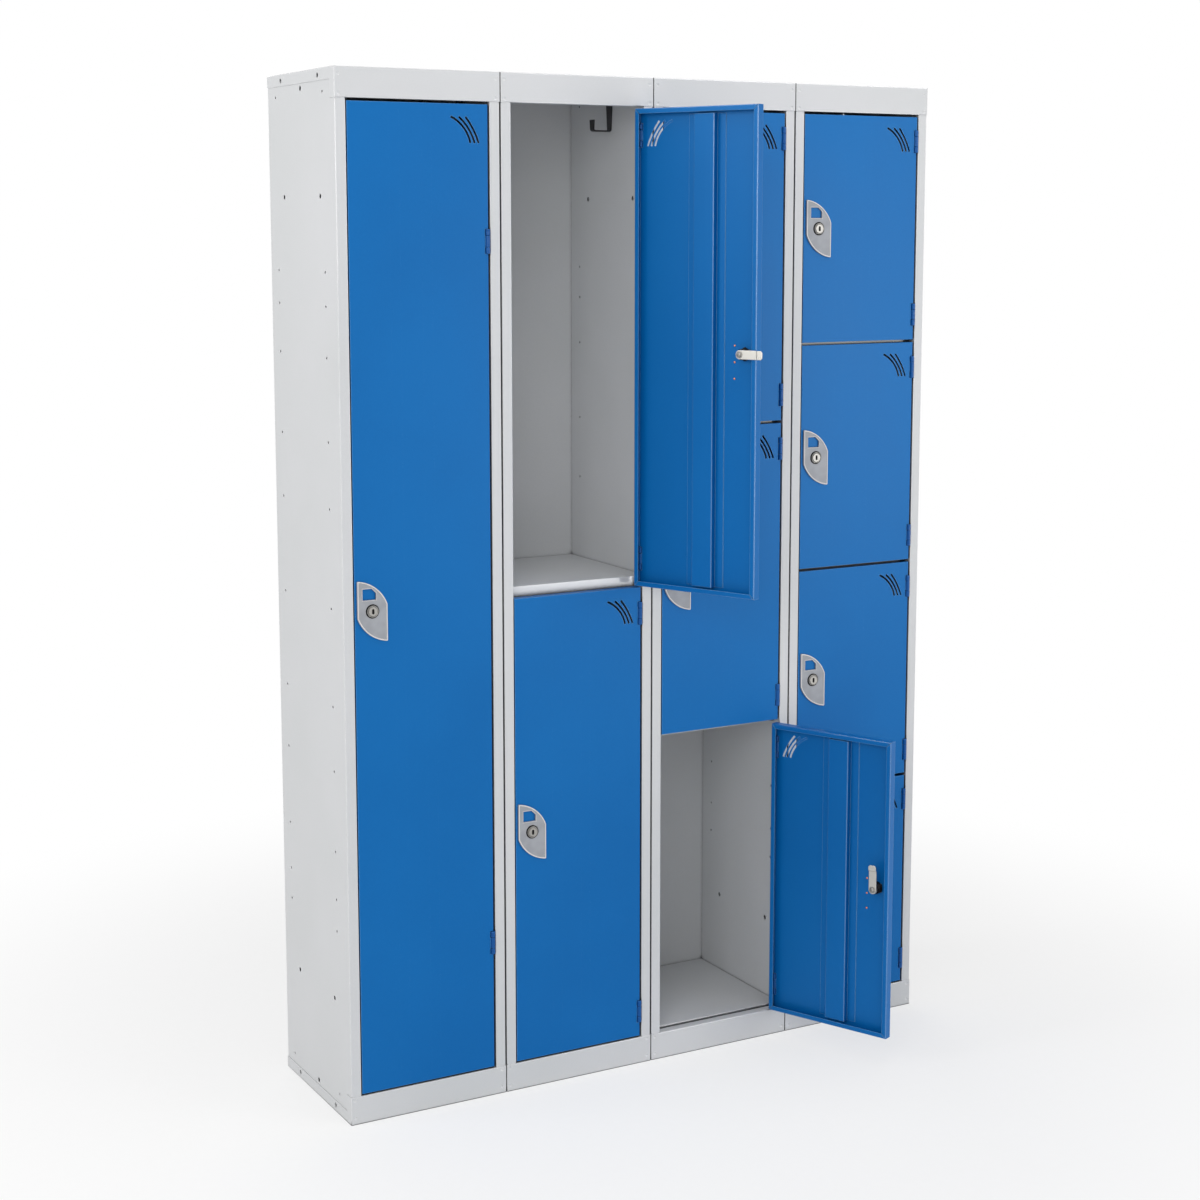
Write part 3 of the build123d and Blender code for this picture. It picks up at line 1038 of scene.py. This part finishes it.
def turned(name, profile, finish):
    """A closed profile of (radius, height) points spun about z."""
    bm = bmesh.new()
    rings = []
    for radius, height in profile:
        if radius == 0:
            rings.append([bm.verts.new((0, 0, height))] * LATHE_STEPS)
            continue
        ring = []
        for step in range(LATHE_STEPS):
            angle = 2 * math.pi * step / LATHE_STEPS
            reach = radius(angle) if callable(radius) else radius
            ring.append(bm.verts.new((reach * math.cos(angle), reach * math.sin(angle), height)))
        rings.append(ring)
    join_rings(bm, rings + rings[:1])
    bmesh.ops.recalc_face_normals(bm, faces=bm.faces)
    return as_mesh(bm, name, finish)


def hexagon(flats):
    """Radius of a six-sided bar, flats across."""

    def reach(angle):
        from_flat = (angle + math.pi / 6) % (math.pi / 3) - math.pi / 6
        return flats / 2 / math.cos(from_flat)

    return reach


def cross(size):
    """Radius of a four-armed driver recess."""
    return lambda angle: size * (0.45 + 0.55 * abs(math.cos(2 * angle)) ** 3)


def in_mm(points):
    """The profile in metres. A radius that is a function already gives metres."""
    return [(radius if callable(radius) else radius * MM, height * MM) for radius, height in points]


print("lathe:", LATHE_STEPS, "steps a turn")

# %% [markdown]
# ## Turned lock parts
# These are the ring round the key plug, its black seal, whose black is painted shade for the dark
# groove round the ring, the threaded barrel behind it, its nut, the heads of the plate's pegs and
# the cam's screw. Heights are from the door's face, outwards. The thread is a stack of ridges,
# because nobody can tell it from a spiral behind the door.

# %% Turn the lock parts
ring_profile = in_mm(
    [(8.3, 2.0), (8.3, 4.0), (8.8, 5.0), (9.4, 5.3), (10.0, 5.1), (10.4, 4.4), (10.4, 2.0)]
)
ring_mesh = turned("lock_ring", ring_profile, nickel)
# The black seal ring is painted shade for the groove round the lock ring.
seal_shade_profile = in_mm([(10.5, 2.0), (10.5, 3.5), (10.9, 3.9), (11.6, 3.8), (11.9, 3.3), (11.9, 2.0)])
seal_shade_mesh = turned("lock_seal_shade", seal_shade_profile, seal_shade_black)

THREADS = 13
THREAD_PITCH = 1.1
thread_profile = [(8.3, -16.4), (8.3, -1.0)]
for turn in range(THREADS):
    top = -1.2 - turn * THREAD_PITCH
    thread_profile += [(8.8, top), (9.4, top - THREAD_PITCH / 2)]
thread_profile += [(8.8, -16.0), (8.6, -16.4)]
barrel_mesh = turned("lock_barrel", in_mm(thread_profile), zinc)

nut_profile = [(9.5, -5.4), (9.5, -1.0), (hexagon(20.4 * MM), -1.0), (hexagon(21 * MM), -1.4)]
nut_profile += [(hexagon(21 * MM), -4.8), (10.3, -5.4)]
nut_mesh = turned("lock_nut", in_mm(nut_profile), zinc)

peg_profile = in_mm([(0, -1.0), (1.8, -1.0), (1.7, -1.9), (1.1, -2.4), (0, -2.5)])
peg_mesh = turned("plate_peg", peg_profile, copper)

screw_profile = [(0, -20.7), (6.2, -20.7), (6.4, -21.0), (6.2, -21.5), (4.4, -21.5), (4.3, -22.6)]
screw_profile += [(3.6, -23.4), (cross(2.4 * MM), -23.8), (cross(1.7 * MM), -22.4), (0, -22.2)]
screw_mesh = turned("cam_screw", in_mm(screw_profile), nickel)
print("faces of ring and barrel:", len(ring_mesh.polygons), len(barrel_mesh.polygons))

# %% [markdown]
# The dark key slot is drawn as a small black cover with a sunk slit, and its black is painted shade
# for the keyway. It isn't round, so it is drawn from outlines like the plate. It turns with the
# plug, as the cam's screw does, and the other parts stay on the door.

# %% Key covers, and all parts set on the doors
KEY_SLOT = (2.1 * MM, 4.6 * MM)
KEY_SLIT = (0.55 * MM, 3.2 * MM)
PLUG_FRONT = 5.8 * MM
COVER_RISE = 0.25 * MM
SLIT_FLOOR = 0.05 * MM


def long_hole(half_width, half_height, steps=8):
    """Outline of an upright slot with round ends, anticlockwise."""
    turn = [math.pi * step / steps for step in range(steps + 1)]
    straight = half_height - half_width
    upper = [(half_width * math.cos(a), straight + half_width * math.sin(a)) for a in turn]
    return upper + [(-x, -y) for x, y in upper]


def key_slot_shade_cover():
    """Small black cover with a sunk key slit, just proud of the plug, painted shade for the keyway.
    """
    bm = bmesh.new()
    rings = []
    for inset, up in [(0, -0.1 * MM), (0, 0.1 * MM), (0.2 * MM, COVER_RISE)]:
        outline = drawn_out(long_hole(*KEY_SLOT), -inset)
        rings.append(add_ring(bm, outline, PLUG_FRONT + up))
    slit = long_hole(*KEY_SLIT)
    slits = [add_ring(bm, slit, PLUG_FRONT + up) for up in (COVER_RISE, SLIT_FLOOR)]
    for steps in (rings, slits):
        join_rings(bm, steps)
    fill_between(bm, [rings[-1], slits[0]])
    for ring in (rings[0], slits[-1]):
        fill_between(bm, [ring])
    bmesh.ops.recalc_face_normals(bm, faces=bm.faces)
    return as_mesh(bm, "key_slot_shade", seal_shade_black)


key_slot_shade_mesh = key_slot_shade_cover()

PEGS = [(22, 14), (22, -14.5), (22, -43)]
for door in doors:
    place = lock_place(door)
    set_piece("lock_ring_" + door, ring_mesh, "door_" + door, place)
    set_piece("lock_seal_shade_" + door, seal_shade_mesh, "door_" + door, place)
    turned_place = place @ key_turn(door)
    set_piece("key_slot_shade_" + door, key_slot_shade_mesh, "lock_" + door, turned_place)
    set_piece("lock_barrel_" + door, barrel_mesh, "door_" + door, place)
    set_piece("lock_nut_" + door, nut_mesh, "door_" + door, place)
    set_piece("cam_screw_" + door, screw_mesh, "lock_" + door, place)
    for number, (x, y) in enumerate(PEGS, 1):
        spot = place @ Matrix.Translation((x * MM, y * MM, 0))
        set_piece(f"plate_peg_{door}_{number}", peg_mesh, "door_" + door, spot)
print("small parts set on", len(doors), "doors; cover faces:", len(key_slot_shade_mesh.polygons))

# %% [markdown]
# ## Plugs and cams
# The key plug and the cam behind the door turn as one. The plug's face is nickel, while the cam is
# stamped from bright zinc plate, and the stamping leaves its rear edge a little round. So the CAD
# shape is copied, that edge is bevelled and each face gets one of the two finishes.

# %% Round and plate the cams
CAM_EDGE = 0.45 * MM
CAM_STEPS = 2
CAM_ZONE = -10 * MM


def stamped_cam():
    """One plug with its cam, in the lock's own frame with the cam up."""
    bm = welded("lock_cam_1a")
    bmesh.ops.transform(bm, matrix=lock_place("1a").inverted(), verts=bm.verts)
    backs = [edge for edge in bm.edges if any(face.normal.z < -0.5 for face in edge.link_faces)]
    rims = [edge for edge in backs if edge.calc_face_angle_signed() > FOLD_ANGLE]
    bevel_round(bm, rims, CAM_EDGE, CAM_STEPS, -1)
    for face in bm.faces:
        face.material_index = int(face.calc_center_median().z < CAM_ZONE)
    return as_mesh(bm, "stamped_cam", nickel, cam_zinc)


cam_mesh = stamped_cam()
for door in doors:
    place = lock_place(door) @ key_turn(door)
    piece = set_piece("stamped_cam_" + door, cam_mesh, "lock_" + door, place)
    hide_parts("lock_cam_" + door)
print("cams:", len(doors), "faces each:", len(cam_mesh.polygons))

# %% [markdown]
# ## Hooks and the sheets that stay as they are
# The hooks and the back panels have the right shape in CAD, so they only take a finish. Each hook
# is held by one screw, which is turned like the cam's.

# %% Hook screws and the remaining finishes
head_profile = [(0, 0), (5.6, 0), (5.4, 1.2), (4.4, 2.2)]
head_profile += [(cross(2.6 * MM), 2.7), (cross(1.9 * MM), 1.2), (0, 1.0)]
head_mesh = turned("hook_screw", in_mm(head_profile), hook_black)
HOOK_SHEET = 2.5 * MM
for locker in ("1", "2"):
    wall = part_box("right_side_" + locker)[1].x - SHEET
    spot = Matrix.Translation((wall - HOOK_SHEET, front + HOOK_ROW, HOOK_HEIGHTS[1] * MM))
    aim = Matrix.Rotation(-math.pi / 2, 4, "Y")
    set_piece("hook_screw_" + locker, head_mesh, "carcass", spot @ aim)

carried = {"coat_hooks": hook_black}
carried.update({f"back_panel_{locker}": grey_coat for locker in lockers})
for node, finish in carried.items():
    mesh = frame["nodes"][node].data
    mesh.materials.clear()
    mesh.materials.append(finish)
print("carried over from CAD:", len(carried), "nodes")

# %% [markdown]
# ## Floor
# The lockers stand on a plain floor that is white all round, and only near the lockers does it take
# their shadow. Camera, mirror and see-through rays meet white there, while the light that the floor
# sends back to the lockers stays at a plain level.

# %% White floor
LOOKING = ("Camera", "Glossy", "Transmission")
FLOOR_HALF = 9.0
SHADOW_NEAR = 0.75
SHADOW_FAR = 1.9
NEAR_WHITE = 0.6


def direct_look(shade):
    """1 for rays that look at the background, 0 for rays that gather light."""
    rays = shade.node("ShaderNodeLightPath").socket.node.outputs
    camera, glossy, through = (Shade(shade.tree, rays[f"Is {kind} Ray"]) for kind in LOOKING)
    return (camera + glossy + through).between(0.0, 1.0)


def white_floor():
    material, shade = new_finish("white_floor")
    place = object_place(shade)
    far = shade.node("ShaderNodeVectorMath", {"operation": "LENGTH"}, {0: place}, output="Value")
    away = far.between(SHADOW_NEAR, SHADOW_FAR)
    speckle = noise(shade, place, 60.0, 3.0)
    tone = speckle.blend(display(236, 236, 236), display(240, 240, 240))
    lit = shade.node("ShaderNodeBsdfDiffuse", {}, {"Color": tone})
    white = shade.node("ShaderNodeEmission", {}, {"Color": WHITE, "Strength": 1.0})
    share = direct_look(shade) * (NEAR_WHITE + away * (1 - NEAR_WHITE))
    mixed = shade.node("ShaderNodeMixShader", {}, {0: share, 1: lit, 2: white})
    shade.node("ShaderNodeOutputMaterial", {}, {"Surface": mixed})
    return material


floor_bm = bmesh.new()
bmesh.ops.create_grid(floor_bm, x_segments=8, y_segments=8, size=FLOOR_HALF)
floor = bpy.data.objects.new("floor", as_mesh(floor_bm, "floor", white_floor()))
bpy.context.scene.collection.objects.link(floor)
print("floor:", 2 * FLOOR_HALF, "m wide")

# %% [markdown]
# ## Light
# The sky is an even white that lights the lockers at about half strength. Large soft lamps on both
# sides and above shape the sheets, and one behind keeps the back from going dark.

# %% World and lamps
SKY = 0.46
world = bpy.data.worlds.new("studio")
world.use_nodes = True
world.node_tree.nodes.clear()
sky = Shade(world.node_tree)
looked_at = direct_look(sky)
level = looked_at + (1 - looked_at) * SKY
background = sky.node("ShaderNodeBackground", {}, {"Color": WHITE, "Strength": level})
sky.node("ShaderNodeOutputWorld", {}, {"Surface": background})
bpy.context.scene.world = world


def soft_lamp(name, place, aim, size, watts):
    lamp = bpy.data.lights.new(name, "AREA")
    lamp.shape = "SQUARE"
    lamp.size = size
    lamp.energy = watts
    thing = bpy.data.objects.new(name, lamp)
    thing.location = place
    thing.rotation_euler = (Vector(aim) - Vector(place)).to_track_quat("-Z", "Y").to_euler()
    bpy.context.scene.collection.objects.link(thing)


middle = (0, 0, 0.9)
soft_lamp("left_side", (-3.4, 0.4, 2.4), middle, 1.8, 40)
soft_lamp("left_front", (-3.0, -3.6, 2.4), middle, 2.2, 56)
soft_lamp("right_front", (2.6, -3.6, 1.2), middle, 2.0, 50)
soft_lamp("overhead", (0, -0.8, 3.6), (0, 0, 0.5), 2.4, 26)
soft_lamp("behind", (1.2, 4.2, 2.2), middle, 2.4, 34)

# %% [markdown]
# ## Camera
# The camera was fitted to the corners of the real row: it stands to the left at about eye height,
# and the lens is a little long. The small shift keeps the row in the middle of the square frame.

# %% Camera
SENSOR = 36.0
camera_data = bpy.data.cameras.new("camera")
camera_data.sensor_width = SENSOR
camera_data.lens = 63.965
camera_data.shift_y = -0.0667
camera_data.clip_start = 0.05
camera_data.clip_end = 60.0
camera = bpy.data.objects.new("camera", camera_data)
camera.location = (-1.9356, -3.4284, 1.5450)
LOOK_DOWN, ROLL, LOOK_RIGHT = 7.884, 0.019, 29.157
camera.rotation_euler = [math.radians(turn) for turn in (90 - LOOK_DOWN, ROLL, -LOOK_RIGHT)]
bpy.context.scene.collection.objects.link(camera)
bpy.context.scene.camera = camera
bpy.context.scene.view_settings.view_transform = "Standard"
print("camera at", tuple(round(c, 3) for c in camera.location))

# %% [markdown]
# ## The end
# The view layer is brought up to date. The visual model has to stay inside the CAD box.

# %% Bring the scene up to date
bpy.context.view_layer.update()
